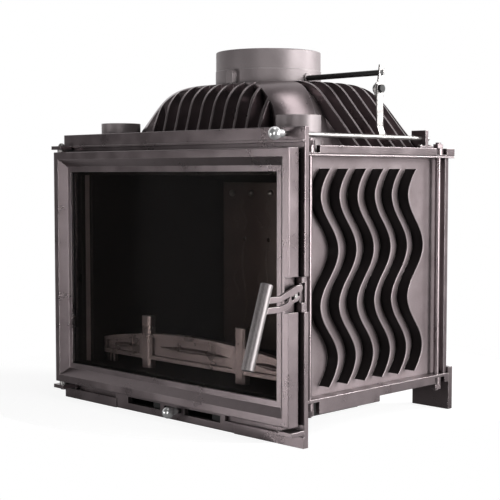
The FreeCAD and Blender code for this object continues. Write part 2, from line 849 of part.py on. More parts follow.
def side_recess(floor, low, high):
    # The right-hand bay between its ribs, with a long sloped wall towards the front corner.
    seat_x = collar_radius + collar_seat_margin

    def edge_place(z):
        y = side_floor_start - side_valley_run + side_valley_lean * rise_share(z)
        return max(side_x(y, 0, 0, z), seat_x) + past, y

    def floor_place(z):
        y = side_floor_start + side_valley_lean * rise_share(z)
        return max(side_x(y, rib_height, rib_drop, z), seat_x), y

    end = side_rib_first + (side_rib_count - 1) * side_rib_pitch + side_bay_end_gap
    outline = [(end, high), (end, low)]
    for z in (low, roof_rim_top, high):
        outline.append((side_floor_start + side_valley_lean * rise_share(z) - past, z))
    bay = slab_along_x(outline, seat_x, 2 * body_half)
    bay = bay.fuse(valley(edge_place, floor_place, x_axis * body_half))
    ribs = []
    for i in range(side_rib_count):
        y = side_rib_first + i * side_rib_pitch
        ribs.append(box(0, 2 * plate_width, y - rib_thick / 2, y + rib_thick / 2, low - past, high + past))
    return bay.cut([floor] + ribs)


def flue_hood():
    floor = hood_envelope(rib_height, rib_drop)
    low = roof_top - past
    high = hood_top + past
    recesses = [front_recess(floor, low, high)] + both_sides(side_recess(floor, low, high))
    hood = hood_envelope(0, 0).cut(recesses)
    cuts = [hood_envelope(rib_height + hood_wall, rib_drop + hood_wall)]
    cuts.append(bar_z(collar_bore, roof_top, hood_top + past, 0, flue_y))
    for side in sides:
        foot_top = roof_top + spigot_foot_height
        cuts.append(bar_z(spigot_radius + spigot_foot_step + part_gap, roof_top - past, foot_top + past,
                          side * spigot_x, spigot_y))
        cuts.append(bar_z(spigot_radius + spigot_hose_room, foot_top, hood_top, side * spigot_x, spigot_y))
    dowel_low = hood_top - collar_dowel_bite
    for x, y in collar_dowel_places:
        cuts.append(bar_z(collar_dowel_radius + slip_gap, dowel_low, hood_top + past, x, y))
    save("flue_hood", hood.cut(cuts))


# Flue collar: a plain ring with a round-headed lug front and back and a bearing boss at each side
def collar_lugs():
    reach = collar_radius + collar_lug_out
    half = collar_lug_width / 2
    shoulder = hood_top + collar_lug_height - half
    lugs = box(-half, half, flue_y - reach, flue_y + reach, hood_top, shoulder)
    lugs = fused(lugs, [bar_y(half, flue_y - reach, flue_y + reach, 0, shoulder)])
    lugs.rotate(FreeCAD.Vector(0, flue_y, 0), z_axis, collar_lug_turn)
    return lugs


def flue_collar():
    ring = bar_z(collar_radius, hood_top, collar_top, 0, flue_y)
    circles = [edge for edge in ring.Edges if len(edge.Vertexes) == 1]
    rim = [edge for edge in circles if edge.BoundBox.ZMin > collar_top - slip_gap]
    ring = ring.makeFillet(collar_rim_round, rim)
    extras = [bar_z(collar_radius + collar_foot_step, hood_top, hood_top + collar_foot_height, 0, flue_y)]
    extras.append(collar_lugs())
    boss_reach = collar_radius + shaft_boss_out
    boss = bar_x(shaft_boss_radius, -boss_reach, boss_reach, flue_y, shaft_height)
    extras.append(boss.common(box(-plate_half, plate_half, 0, body_depth, hood_top, collar_top)))
    collar = fused(ring, extras)
    cuts = [bar_z(collar_bore, hood_top - past, collar_top + past, 0, flue_y)]
    cuts.append(bar_x(shaft_radius + run_gap, -plate_half, plate_half, flue_y, shaft_height))
    dowel_high = hood_top + collar_dowel_bite
    for x, y in collar_dowel_places:
        cuts.append(bar_z(collar_dowel_radius + slip_gap, hood_top - past, dowel_high, x, y))
    save("flue_collar", collar.cut(cuts))


def collar_dowels():
    low = hood_top - collar_dowel_bite + part_gap
    high = hood_top + collar_dowel_bite - part_gap
    save("collar_dowels", *[bar_z(collar_dowel_radius, low, high, x, y) for x, y in collar_dowel_places])


# Damper: a tilted disc on a cross shaft, turned by a slotted crank outside the hood
def turned_about_shaft(shape, degrees):
    turned = shape.copy()
    turned.rotate(FreeCAD.Vector(0, flue_y, shaft_height), x_axis, degrees)
    return turned


def damper_disc():
    radius = collar_bore - damper_gap
    disc = bar_z(radius, shaft_height - damper_thick / 2, shaft_height + damper_thick / 2, 0, flue_y)
    hub_reach = radius * math.sqrt(0.5)
    hub = bar_x(damper_hub_radius, -hub_reach, hub_reach, flue_y, shaft_height)
    bore = bar_x(shaft_radius + slip_gap, -collar_radius, collar_radius, flue_y, shaft_height)
    closed = fused(disc, [hub]).cut(bore)
    save("damper_disc", turned_about_shaft(closed, -damper_ratio * rod_push))


def damper_shaft():
    shaft_start = -(collar_radius + shaft_boss_out + shaft_radius)
    shaft = bar_x(shaft_radius, shaft_start, crank_x + crank_thick, flue_y, shaft_height)
    save("damper_shaft", shaft)


def link_place_on_crank(slide):
    # Where the link pin stands on the crank once the rod has slid and the crank has turned with it.
    turn = math.radians(-damper_ratio * slide)
    y = slide - crank_lead
    z = -crank_drop
    turned_y = y * math.cos(turn) - z * math.sin(turn)
    turned_z = y * math.sin(turn) + z * math.cos(turn)
    return flue_y + turned_y, shaft_height + turned_z


def strip_along_x(points, half_width, x0, x1):
    # A flat strip along a line of points in Y and Z, with round ends and joints.
    parts = [bar_x(half_width, x0, x1, y, z) for y, z in points]
    for (y0, z0), (y1, z1) in zip(points, points[1:]):
        run = math.hypot(y1 - y0, z1 - z0)
        off_y = (z1 - z0) / run * half_width
        off_z = (y1 - y0) / run * half_width
        near = [(y0 + off_y, z0 - off_z), (y1 + off_y, z1 - off_z)]
        far = [(y1 - off_y, z1 + off_z), (y0 - off_y, z0 + off_z)]
        parts.append(slab_along_x(near + far, x0, x1))
    return parts


def damper_crank():
    x1 = crank_x + crank_thick
    ends = [link_place_on_crank(slide) for slide in (-rod_pull, 0, rod_push)]
    tip_y, tip_z = ends[0]
    reach = math.hypot(tip_y - flue_y, tip_z - shaft_height)
    up_y = (flue_y - tip_y) / reach
    up_z = (shaft_height - tip_z) / reach
    half = crank_bar_width / 2

    def on_bar(rise, across):
        return (flue_y + up_y * rise + up_z * across, shaft_height + up_z * rise - up_y * across)

    bar = [on_bar(-reach, -half), on_bar(-reach, half)]
    bar += [on_bar(crank_tail, half), on_bar(crank_tail + crank_peak, -half)]
    crank = fused(slab_along_x(bar, crank_x, x1), strip_along_x(ends, crank_width / 2, crank_x, x1))
    cuts = strip_along_x(ends, link_pin_radius + link_slot_room, crank_x - past, x1 + past)
    cuts.append(bar_x(shaft_radius + slip_gap, crank_x - past, x1 + past, flue_y, shaft_height))
    save("damper_crank", crank.cut(cuts))


# Damper rod: slides through the plate and the rear guide, and carries the upright with the link pin
def ball_knob(out, x, z):
    # A ball that runs into a short ferrule, turned in one piece and bored for its stem.
    centre = FreeCAD.Vector(x, -out, z)
    ball = Part.makeSphere(knob_radius, centre)
    ferrule = bar_y(ferrule_radius, -out, -out + knob_radius + ferrule_length, x, z)
    return fused(ball, [ferrule])


def damper_rod():
    save("damper_rod", bar_y(rod_radius, -knob_out, rod_end, rod_x, rod_height))
    knob = ball_knob(knob_out, rod_x, rod_height)
    save("damper_knob", knob.cut(bar_y(rod_radius + slip_gap, -knob_out - slip_gap, 0, rod_x, rod_height)))


def rod_upright():
    x0 = crank_x + crank_thick + link_gap
    low_x = rod_x - upright_thick / 2
    half = upright_width / 2
    inner = [(x0, link_z + half), (x0, upright_bend_high), (low_x, upright_bend_low), (low_x, rod_height)]
    outer = [(x + upright_thick, z) for x, z in reversed(inner)]
    strip = slab_along_y(inner + outer, link_y - half, link_y + half)
    cuts = [bar_y(rod_radius, 0, body_depth, rod_x, rod_height)]
    cuts.append(bar_x(link_pin_radius + slip_gap, crank_x, rod_x + crank_thick, link_y, link_z))
    cut = strip.cut(cuts)
    solids = sorted(cut.Solids, key=lambda solid: solid.Volume)
    save("rod_upright", solids[-1])


def link_bolt():
    head_x = crank_x + crank_thick + link_gap + upright_thick
    tail_x = crank_x - link_gap - nut_height / 2
    shank = bar_x(link_pin_radius, tail_x, head_x, link_y, link_z)
    save("link_bolt", shank.fuse(bar_x(bolt_head_radius, head_x, head_x + bolt_head_height, link_y, link_z)))
    washer_radius = link_pin_radius + 2 * link_slot_room
    washer = bar_x(washer_radius, tail_x, crank_x - link_gap, link_y, link_z)
    hole = bar_x(link_pin_radius + slip_gap, tail_x - past, crank_x, link_y, link_z)
    save("link_collar", washer.cut(hole))


def rod_guide():
    ear = box(guide_x0, body_half, guide_y, guide_y + guide_thick, roof_rim_top, roof_rim_top + guide_height)
    foot_y0 = guide_middle_y - guide_foot_length / 2
    foot = box(body_half - rim_thick, body_half, foot_y0, foot_y0 + guide_foot_length,
               roof_rim_top, roof_rim_top + guide_foot_thick)
    guide = fused(ear, [foot])
    cuts = [bar_y(rod_radius + run_gap, 0, body_depth, rod_x, rod_height)]
    seat = roof_rim_top + guide_foot_thick
    screws = []
    for y in guide_screw_ys:
        x = body_half - rim_thick / 2
        cuts.append(bar_z(guide_screw_radius + slip_gap, roof_rim_top - past, seat + past, x, y))
        shank = bar_z(guide_screw_radius, roof_rim_top - guide_screw_bite + part_gap, seat, x, y)
        screws.append(shank.fuse(bar_z(rim_thick / 2 - part_gap, seat, seat + guide_screw_radius, x, y)))
    save("rod_guide", guide.cut(cuts))
    save("rod_guide_screws", *screws)


# Upper air spigots and the sheet duct that leads their air down behind the glass
def air_spigots():
    for side, node in zip(sides, ("air_spigot_left", "air_spigot_right")):
        x = side * spigot_x
        tube = bar_z(spigot_radius, roof_top, roof_top + spigot_height, x, spigot_y)
        foot = bar_z(spigot_radius + spigot_foot_step, roof_top, roof_top + spigot_foot_height, x, spigot_y)
        bore_top = roof_top + spigot_height + past
        bore = bar_z(spigot_radius - spigot_wall, roof_top - past, bore_top, x, spigot_y)
        save(node, tube.fuse(foot).cut(bore))


def air_wash_duct():
    half = panel_inner - part_gap
    duct_back = duct_front + duct_depth
    floor = box(-half, half, duct_front, duct_back, duct_floor, duct_floor + duct_sheet)
    wall = box(-half, half, duct_back - duct_sheet, duct_back, duct_floor, roof_bottom)
    save("air_wash_duct", fused(floor, [wall]))


# Firebox lining: side and back plates, the baffle that lies on them, the hearth plate and the grate
def baffle_under(y):
    return back_lining_top + part_gap + (baffle_back - y) * baffle_rise / (baffle_back - baffle_front)


def side_linings():
    back = back_lining_y - part_gap
    brow_y = duct_front + duct_depth + lining_thick
    outline = [(lining_front, base_top), (back, base_top), (back, baffle_under(back))]
    outline += [(baffle_front, baffle_under(baffle_front)), (brow_y, side_lining_brow)]
    outline.append((lining_front, side_lining_brow))
    panel = slab_along_x(outline, lining_inner, lining_inner + lining_thick)
    save("side_lining_right", panel)
    save("side_lining_left", mirrored(panel))


def ridge_places():
    # Each air hole has a long and a short ridge below and above it; a span is a drop from it and a length.
    places = []
    for i in range(air_hole_pairs):
        for side in sides:
            x = side * (air_hole_first + i * air_hole_pitch)
            places += [(x, ridge_lower), (x, ridge_upper)]
            small_x = x - ridge_small_shift
            places += [(small_x, ridge_lower_small), (small_x, ridge_upper_small)]
    return places


def lining_ridge(x, drop, length):
    start = FreeCAD.Vector(x, back_lining_y, air_hole_height - drop - length)
    face = wavy_ribbon(start, x_axis, ridge_width, 1, ridge_swing, length)
    return face.extrude(FreeCAD.Vector(0, -ridge_proud, 0))


def back_lining():
    half = panel_inner - part_gap
    panel = box(-half, half, back_lining_y, back_lining_y + lining_thick, base_top, back_lining_top)
    bolt_hole = lining_bolt_radius + slip_gap
    holes = [bar_y(bolt_hole, 0, body_depth, x, lining_bolt_height) for x in lining_bolt_xs]
    for i in range(air_hole_pairs):
        for side in sides:
            x = side * (air_hole_first + i * air_hole_pitch)
            holes.append(bar_y(air_hole_radius, 0, body_depth, x, air_hole_height))
    ridges = [lining_ridge(x, *span) for x, span in ridge_places()]
    save("back_lining", fused(panel, ridges).cut(holes))


def lining_fasteners():
    lining_back = back_lining_y + lining_thick
    spacers = []
    bolts = []
    nuts = []
    for x in lining_bolt_xs:
        hole = bar_y(lining_bolt_radius + slip_gap, 0, body_depth, x, lining_bolt_height)
        spacers.append(bar_y(bolt_head_radius, lining_back, back_inner, x, lining_bolt_height).cut(hole))
        end = base_back + bolt_head_height + tie_rod_end
        shank = bar_y(lining_bolt_radius, back_lining_y, end, x, lining_bolt_height)
        head = Part.makeSphere(bolt_head_radius, FreeCAD.Vector(x, back_lining_y, lining_bolt_height))
        front_half = box(-plate_half, plate_half, 0, back_lining_y, 0, plate_height)
        bolts.append(shank.fuse(head.common(front_half)))
        nut_end = base_back + bolt_head_height
        nut = hexagon_along_y(2 * bolt_head_radius, base_back, nut_end, x, lining_bolt_height)
        nuts.append(nut.cut(hole))
    save("lining_spacers", *spacers)
    save("lining_bolts", *bolts)
    save("lining_nuts", *nuts)


def baffle_plate():
    under_back = baffle_under(baffle_back)
    under_front = baffle_under(baffle_front)
    outline = [(baffle_front, under_front), (baffle_back, under_back),
               (baffle_back, under_back + baffle_thick), (baffle_front, under_front + baffle_thick)]
    half = panel_inner - 2 * part_gap
    save("baffle_plate", slab_along_x(outline, -half, half))


def hearth_plate():
    half = lining_inner - part_gap
    plate = box(-half, half, lining_front, back_lining_y - part_gap, base_top, hearth_top)
    half_x = grate_width / 2 + part_gap
    half_y = grate_depth / 2 + part_gap
    hole = box(-half_x, half_x, grate_y - half_y, grate_y + half_y, base_top - past, hearth_top + past)
    save("hearth_plate", plate.cut(hole))


def grate():
    half_x = grate_width / 2
    half_y = grate_depth / 2
    plate = box(-half_x, half_x, grate_y - half_y, grate_y + half_y, base_top, base_top + grate_thick)
    slots = []
    pitch = (grate_width - 2 * grate_ledge) / grate_slots
    for i in range(grate_slots):
        x = (i - (grate_slots - 1) / 2) * pitch
        slots.append(box(x - grate_slot_width / 2, x + grate_slot_width / 2,
                         grate_y - half_y + grate_ledge, grate_y + half_y - grate_ledge,
                         base_top - past, base_top + grate_thick + past))
    save("grate", plate.cut(slots))


# Log guard: an arched rail of three sunk panels with a leaf in each, two posts and a comb of feet at each end
def arched_face(low, lowered, y):
    left_low = FreeCAD.Vector(-guard_half_length, y, low)
    right_low = FreeCAD.Vector(guard_half_length, y, low)
    left_high = FreeCAD.Vector(-guard_half_length, y, guard_end_high - lowered)
    right_high = FreeCAD.Vector(guard_half_length, y, guard_end_high - lowered)
    crown = FreeCAD.Vector(0, y, guard_mid_high - lowered)
    over = Part.Arc(right_high, crown, left_high).toShape()
    edges = [Part.makeLine(left_low, right_low), Part.makeLine(right_low, right_high), over]
    return Part.Face(Part.Wire(edges + [Part.makeLine(left_high, left_low)]))


def panel_middle(x):
    # Half way up a sunk panel, between its lower rim and the arch.
    sag = (guard_mid_high - guard_end_high) * (x / guard_half_length) ** 2
    return (guard_low + guard_mid_high - sag) / 2


def leaf(x0, x1):
    # A pointed leaf on the panel's floor, with two flanks that rise to a narrow ridge.
    panel_floor = guard_y + guard_panel_depth
    wires = []
    for share, rise, y in ((1, guard_leaf_rise, panel_floor + past),
                           (guard_leaf_top_share, guard_leaf_ridge, panel_floor - guard_leaf_height)):
        half = share * (x1 - x0) / 2
        x = (x0 + x1) / 2
        left = FreeCAD.Vector(x - half, y, panel_middle(x - half))
        right = FreeCAD.Vector(x + half, y, panel_middle(x + half))
        under = Part.Arc(left, FreeCAD.Vector(x, y, panel_middle(x) - rise), right).toShape()
        over = Part.Arc(right, FreeCAD.Vector(x, y, panel_middle(x) + rise), left).toShape()
        wires.append(Part.Wire([under, over]))
    return Part.makeLoft(wires, True, True)


def guard_post(x):
    half = guard_post_width / 2
    front = guard_y - guard_post_lead
    back = guard_y + guard_thick
    chamfer = guard_post_chamfer
    outline = [(x - half, back), (x - half, front + chamfer), (x - half + chamfer, front)]
    outline += [(x + half - chamfer, front), (x + half, front + chamfer), (x + half, back)]
    foot = polygon_face([FreeCAD.Vector(*place, hearth_top) for place in outline])
    return foot.extrude(z_axis * guard_post_height)


def log_guard():
    rail = arched_face(guard_low, 0, guard_y).extrude(y_axis * guard_thick)
    sunk = arched_face(guard_low + guard_rim, guard_rim, guard_y - past)
    sunk = sunk.extrude(y_axis * (past + guard_panel_depth))
    inner = guard_post_x - guard_post_width / 2 - guard_side_rim
    outer_start = guard_post_x + guard_post_width / 2 + guard_side_rim
    outer_end = guard_half_length - guard_side_rim
    pieces = []
    for x0, x1 in ((-inner, inner), (outer_start, outer_end), (-outer_end, -outer_start)):
        window = box(x0, x1, guard_y - 2 * past, guard_y + guard_thick, guard_low, guard_mid_high)
        rail = rail.cut(sunk.common(window))
        pieces.append(leaf(x0 + guard_leaf_end_gap, x1 - guard_leaf_end_gap))
    foot_half = guard_foot_width / 2
    for side in sides:
        pieces.append(guard_post(side * guard_post_x))
        for i in range(guard_foot_count):
            x = side * (guard_half_length - foot_half - i * guard_foot_pitch)
            pieces.append(box(x - foot_half, x + foot_half, guard_y + guard_panel_depth,
                              guard_y + guard_thick, hearth_top, guard_low + past))
    save("log_guard", fused(rail, pieces))


# Primary air: a box below the base, a slider behind the plate's slots, its rails, stem and knob
def air_box():
    wall = air_box_sheet
    half = air_box_half_width
    back = plate_thick + air_box_depth
    outer = box(-half, half, plate_thick, back, air_box_bottom, base_bottom)
    inner = box(-half + wall, half - wall, plate_thick - past, back - wall,
                air_box_bottom + wall, base_bottom + past)
    save("air_box", outer.cut(inner))


def slider_rails():
    half = air_box_half_width - air_box_sheet - part_gap
    web_back = plate_thick + slider_thick + 2 * part_gap
    rails = []
    for side in sides:
        edge = slot_middle + side * slider_height / 2
        near = edge + side * part_gap
        far = near + side * slider_rail_size
        inner = edge - side * slider_rail_lap
        web = box(-half, half, plate_thick, web_back, min(near, far), max(near, far))
        lip = box(-half, half, web_back, web_back + slider_rail_size, min(inner, far), max(inner, far))
        rails.append(fused(web, [lip]))
    save("slider_rails", *rails)


def air_slider():
    y0 = plate_thick + part_gap
    low = slot_middle - slider_height / 2
    high = slot_middle + slider_height / 2
    strip_end = slot_right_start + slot_length + slider_left + past
    strip = box(slot_left_start - slider_margin, strip_end, y0, y0 + slider_thick, low, high)
    windows = []
    for start in (slot_left_start, slot_right_start):
        windows.append(box(start, start + slot_length - slider_cover, 0, y0 + slider_thick + past,
                           slot_bottom, slot_top))
    windows.append(bar_y(stem_radius / 2 + slip_gap, 0, y0 + slider_thick + past, stem_x, slot_middle))
    save("air_slider", strip.cut(windows))
    stem = bar_y(stem_radius, -air_knob_out, y0, stem_x, slot_middle)
    tail = bar_y(stem_radius / 2, y0, y0 + slider_thick, stem_x, slot_middle)
    save("slider_stem", stem.fuse(tail))
    bore = bar_y(stem_radius + slip_gap, -air_knob_out - slip_gap, 0, stem_x, slot_middle)
    save("air_knob", ball_knob(air_knob_out, stem_x, slot_middle).cut(bore))


# Door: a cast frame with a bevelled face, the glass in its rebate, its clips and the rope seal
def door_rectangle(inset, y):
    x = door_half - inset
    z0 = door_bottom + inset
    z1 = door_top - inset
    return Part.makePolygon([FreeCAD.Vector(*p) for p in
                             ((-x, y, z0), (x, y, z0), (x, y, z1), (-x, y, z1), (-x, y, z0))])


def clip_places():
    # Each clip's middle on the door's back, with the direction from the frame to the glass.
    side_x = door_half - clip_screw_inset
    places = [(side * side_x, z, -side, 0) for side in sides
              for z in (door_middle - door_height / 4, door_middle + door_height / 4)]
    places += [(side * door_half / 2, door_bottom + clip_screw_inset, 0, 1) for side in sides]
    places += [(side * door_half / 2, door_top - clip_screw_inset, 0, -1) for side in sides]
    return places


def door_frame():
    frame = box(-door_half, door_half, door_front, door_back, door_bottom, door_top)
    frame = frame.makeFillet(door_edge_round, front_edges(frame, door_front))
    bevel_run = frame_bevel / frame_bevel_depth
    outer = door_rectangle(frame_flat - past * bevel_run, door_front - past)
    inner = door_rectangle(frame_flat + frame_bevel, door_front + frame_bevel_depth)
    rebate = frame_width - glass_overlap
    seat = door_front + frame_bevel_depth + frame_lip_thick
    cuts = [Part.makeLoft([outer, inner], True, True)]
    cuts.append(box(-door_half + frame_width, door_half - frame_width, door_front - past, door_back + past,
                    door_bottom + frame_width, door_top - frame_width))
    cuts.append(box(-door_half + rebate, door_half - rebate, seat, door_back + past,
                    door_bottom + rebate, door_top - rebate))
    groove_front = door_back - rope_groove_depth
    cuts.append(frame_ring(rope_inset, rope_inset + rope_width, groove_front, door_back + past))
    cuts.append(box(door_half - latch_notch_depth, door_half + past, door_front - past, door_back + past,
                    latch_bottom, latch_top))
    pin_hole = lever_pin_radius + slip_gap
    notch_x = door_half - latch_notch_depth
    pin_end = notch_x - lever_pin_length - part_gap
    cuts.append(bar_x(pin_hole, pin_end, notch_x + past, pivot_y, lever_pivot_height))
    bore = hinge_pin_radius + run_gap
    cuts.append(bar_z(bore, door_bottom - past, door_bottom + hinge_pin_in_door + past, hinge_x, hinge_y))
    cuts.append(bar_z(bore, door_top - hinge_pin_in_door - past, door_top + past, hinge_x, hinge_y))
    screw_front = door_back - clip_screw_length
    for x, z, _, _ in clip_places():
        cuts.append(bar_y(clip_screw_radius + slip_gap, screw_front, door_back + past, x, z))
    save("door_frame", frame.cut(cuts))


def door_glazing():
    seat = door_front + frame_bevel_depth + frame_lip_thick
    inset = frame_width - glass_overlap + part_gap
    glass_front = door_back - glass_thick
    glass = box(-door_half + inset, door_half - inset, glass_front, door_back,
                door_bottom + inset, door_top - inset)
    save("door_glass", glass)
    save("glass_gasket", frame_ring(inset, frame_width, seat, glass_front))
    clips = []
    screws = []
    clip_back = door_back + clip_thick
    for x, z, run_x, run_z in clip_places():
        half_x = clip_width / 2 if run_x else clip_length / 2
        half_z = clip_length / 2 if run_x else clip_width / 2
        mid_x = x + run_x * clip_grip / 2
        mid_z = z + run_z * clip_grip / 2
        clip = box(mid_x - half_x, mid_x + half_x, door_back, clip_back, mid_z - half_z, mid_z + half_z)
        clips.append(clip.cut(bar_y(clip_screw_radius + slip_gap, door_back - past, clip_back + past, x, z)))
        shank = bar_y(clip_screw_radius, door_back - clip_screw_length + part_gap, clip_back, x, z)
        head = bar_y(clip_screw_head_radius, clip_back, clip_back + clip_screw_head, x, z)
        screws.append(shank.fuse(head))
    save("glass_clips", *clips)
    save("clip_screws", *screws)
    save("door_rope", frame_ring(rope_inset + slip_gap, rope_inset + rope_width - slip_gap,
                                 door_back - rope_groove_depth, -part_gap))


# Hinges: two pins that stand in the plate's tabs, and the bushes that space the door between them
def hinges():
    low_top = hinge_tab_low + hinge_tab_thick
    high_top = hinge_tab_high + hinge_tab_thick
    low_pin = bar_z(hinge_pin_radius, hinge_tab_low, door_bottom + hinge_pin_in_door, hinge_x, hinge_y)
    low_head = bar_z(hinge_pin_head_radius, hinge_tab_low - hinge_pin_head, hinge_tab_low, hinge_x, hinge_y)
    high_pin = bar_z(hinge_pin_radius, door_top - hinge_pin_in_door, high_top, hinge_x, hinge_y)
    dome = Part.makeSphere(hinge_pin_head_radius, FreeCAD.Vector(hinge_x, hinge_y, high_top))
    above = box(-plate_half, plate_half, door_front, body_depth, high_top, plate_height)
    save("hinge_pins", low_pin.fuse(low_head), high_pin.fuse(dome.common(above)))
    bushes = []
    for z0, z1 in ((low_top, door_bottom - slip_gap), (door_top + slip_gap, hinge_tab_high)):
        ring = bar_z(hinge_bush_radius, z0, z1, hinge_x, hinge_y)
        bushes.append(ring.cut(bar_z(hinge_pin_radius + run_gap, z0 - past, z1 + past, hinge_x, hinge_y)))
    save("hinge_bushes", *bushes)


# Latch: a keeper let into the plate's edge, and a two-pronged lever with a tube grip on the door's edge
def latch_keeper():
    outer_x = plate_half - keeper_inset
    keeper = box(keeper_x, outer_x, -keeper_out, plate_thick, latch_bottom, latch_top)
    cuts = [box(keeper_x + keeper_web, plate_half, -keeper_out - past, keeper_pocket,
                keeper_slot_bottom, keeper_slot_top)]
    screws = []
    seat = outer_x - keeper_screw_head
    for z in keeper_screw_zs:
        cuts.append(bar_x(keeper_screw_radius + slip_gap, keeper_x - past, plate_half, keeper_screw_y, z))
        cuts.append(bar_x(keeper_screw_head_radius + slip_gap, seat, plate_half, keeper_screw_y, z))
        shank = bar_x(keeper_screw_radius, plate_half - keeper_screw_length, seat, keeper_screw_y, z)
        head = bar_x(keeper_screw_head_radius, seat, outer_x - part_gap, keeper_screw_y, z)
        screws.append(shank.fuse(head))
    save("latch_keeper", keeper.cut(cuts))
    save("keeper_screws", *screws)


def grip_line_out(z):
    climbed = (z - grip_foot_height) / (grip_head_height - grip_foot_height)
    return grip_foot_out + (grip_head_out - grip_foot_out) * climbed


def grip_bar():
    foot = FreeCAD.Vector(grip_x, -grip_foot_out, grip_foot_height)
    head = FreeCAD.Vector(grip_x, -grip_head_out, grip_head_height)
    return Part.makeCylinder(grip_radius, (head - foot).Length, foot, head - foot)


def latch_lever():
    x1 = lever_x + lever_thick
    nose = (-nose_out, nose_height)
    pivot = (pivot_y, lever_pivot_height)
    upper_root = (-prong_root_out, (nose_height + lever_pivot_height) / 2)
    lower_root = (-prong_root_out - prong_half_width, prong_lower_height + prong_half_width)
    upper = [(-grip_line_out(prong_upper_height), prong_upper_height), (-prong_bend_out, prong_upper_height),
             upper_root, (pivot_y + prong_half_width, nose_height), nose]
    lower = [(-grip_line_out(prong_lower_height), prong_lower_height), (-prong_bend_out, prong_lower_height),
             lower_root, pivot, nose]
    web = slab_along_x([upper_root, lower_root, (pivot_y, lever_pivot_height - lever_hub_radius), nose,
                        (pivot_y + prong_half_width, nose_height)], lever_x, x1)
    hub = bar_x(lever_hub_radius, door_half - latch_notch_depth + part_gap, x1, *pivot)
    prongs = [strip_along_x(points, prong_half_width, lever_x, x1) for points in (upper, lower)]
    lever = fused(hub, [web] + prongs[0] + prongs[1])
    cuts = [grip_bar(), bar_x(lever_pin_radius + run_gap, 0, x1 + past, *pivot)]
    slope = math.radians(lever_dimple_slope)
    for side in sides:
        y = pivot_y + side * lever_dimple_spread * math.cos(slope)
        z = lever_pivot_height + side * lever_dimple_spread * math.sin(slope)
        cuts.append(bar_x(lever_dimple_radius, x1 - lever_dimple_depth, x1 + past, y, z))
    solids = sorted(lever.cut(cuts).Solids, key=lambda solid: solid.Volume)
    save("latch_lever", solids[-1])
    notch_x = door_half - latch_notch_depth
    save("lever_pin", bar_x(lever_pin_radius, notch_x - lever_pin_length, x1 + past, *pivot))


def handle_grip():
    grip = grip_bar()
    rims = [edge for edge in grip.Edges if len(edge.Vertexes) == 1]
    save("handle_grip", grip.makeFillet(grip_end_round, rims))


front_plate()
plate_bolts()
base_plate()
top_plate()
side_panels()
back_panel()
rear_legs()
leg_bolts()
tie_rods()
flue_hood()
flue_collar()
collar_dowels()
damper_disc()
damper_shaft()
damper_crank()
damper_rod()
rod_upright()
link_bolt()
rod_guide()
air_spigots()
air_wash_duct()
side_linings()
back_lining()
lining_fasteners()
baffle_plate()
hearth_plate()
grate()
log_guard()
air_box()
slider_rails()
air_slider()
door_frame()
door_glazing()
hinges()
latch_keeper()
latch_lever()
handle_grip()
print("origin lies", round(-footprint_shift, 3), "mm behind the plate's front face")
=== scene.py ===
import math

import bpy
import mathutils
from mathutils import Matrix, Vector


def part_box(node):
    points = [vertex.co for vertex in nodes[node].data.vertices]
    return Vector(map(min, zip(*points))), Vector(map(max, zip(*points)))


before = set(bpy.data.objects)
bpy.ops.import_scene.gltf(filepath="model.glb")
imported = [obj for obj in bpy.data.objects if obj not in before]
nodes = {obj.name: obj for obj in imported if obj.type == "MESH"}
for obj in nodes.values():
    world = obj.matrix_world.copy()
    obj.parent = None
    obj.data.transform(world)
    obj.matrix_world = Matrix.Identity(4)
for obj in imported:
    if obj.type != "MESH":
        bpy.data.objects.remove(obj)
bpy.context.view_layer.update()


# Body castings: plates, panels, door frame, legs, hood, collar, spigots, log guard and latch, and the tie
# rods painted with them. Grey iron cast in sand, shot-blasted and sprayed with graphite-coloured stove paint.
# The sand leaves a grain under the paint; the edges carry a painted highlight and the hollows painted shade.
# Colours of the painted shade in deep hollows and on turned-away flanks.
deep_shade_black = "#000000"
shade_black = "#0e0b0b"
# Lighter colour of the painted highlight along the edges.
highlight_grey = "#b5adad"
cloud_mm = 60
grain_share = 0.55
grain_depth = 0.0004
# Width of the painted edge highlight; the same rounding also softens the edges' shading.
highlight_edge_radius = 0.0014
# How far the painted shade in hollows reaches.
shade_reach = 0.022

# A Mix node's sockets for colours: the two that go in and the one that comes out.
under, over, mixed = 6, 7, 2


def linear(hex_colour):
    channels = [int(hex_colour[i:i + 2], 16) / 255 for i in (1, 3, 5)]
    return [c / 12.92 if c <= 0.04045 else ((c + 0.055) / 1.055) ** 2.4 for c in channels] + [1.0]


def per_metre(size_mm):
    return 1000 / size_mm


def new_material(name):
    material = bpy.data.materials.new(name)
    material.use_nodes = True
    return material, material.node_tree.nodes["Principled BSDF"]


def add_node(material, kind, settings=None, inputs=None):
    # Settings go on the node itself; an input is a plain value or another node's output to link from.
    made = material.node_tree.nodes.new(kind)
    for name, value in (settings or {}).items():
        setattr(made, name, value)
    for name, value in (inputs or {}).items():
        if isinstance(value, bpy.types.NodeSocket):
            material.node_tree.links.new(value, made.inputs[name])
        else:
            made.inputs[name].default_value = value
    return made


def finish_nodes(material, *names):
    for name in names:
        mesh = nodes[name].data
        mesh.materials.clear()
        mesh.materials.append(material)


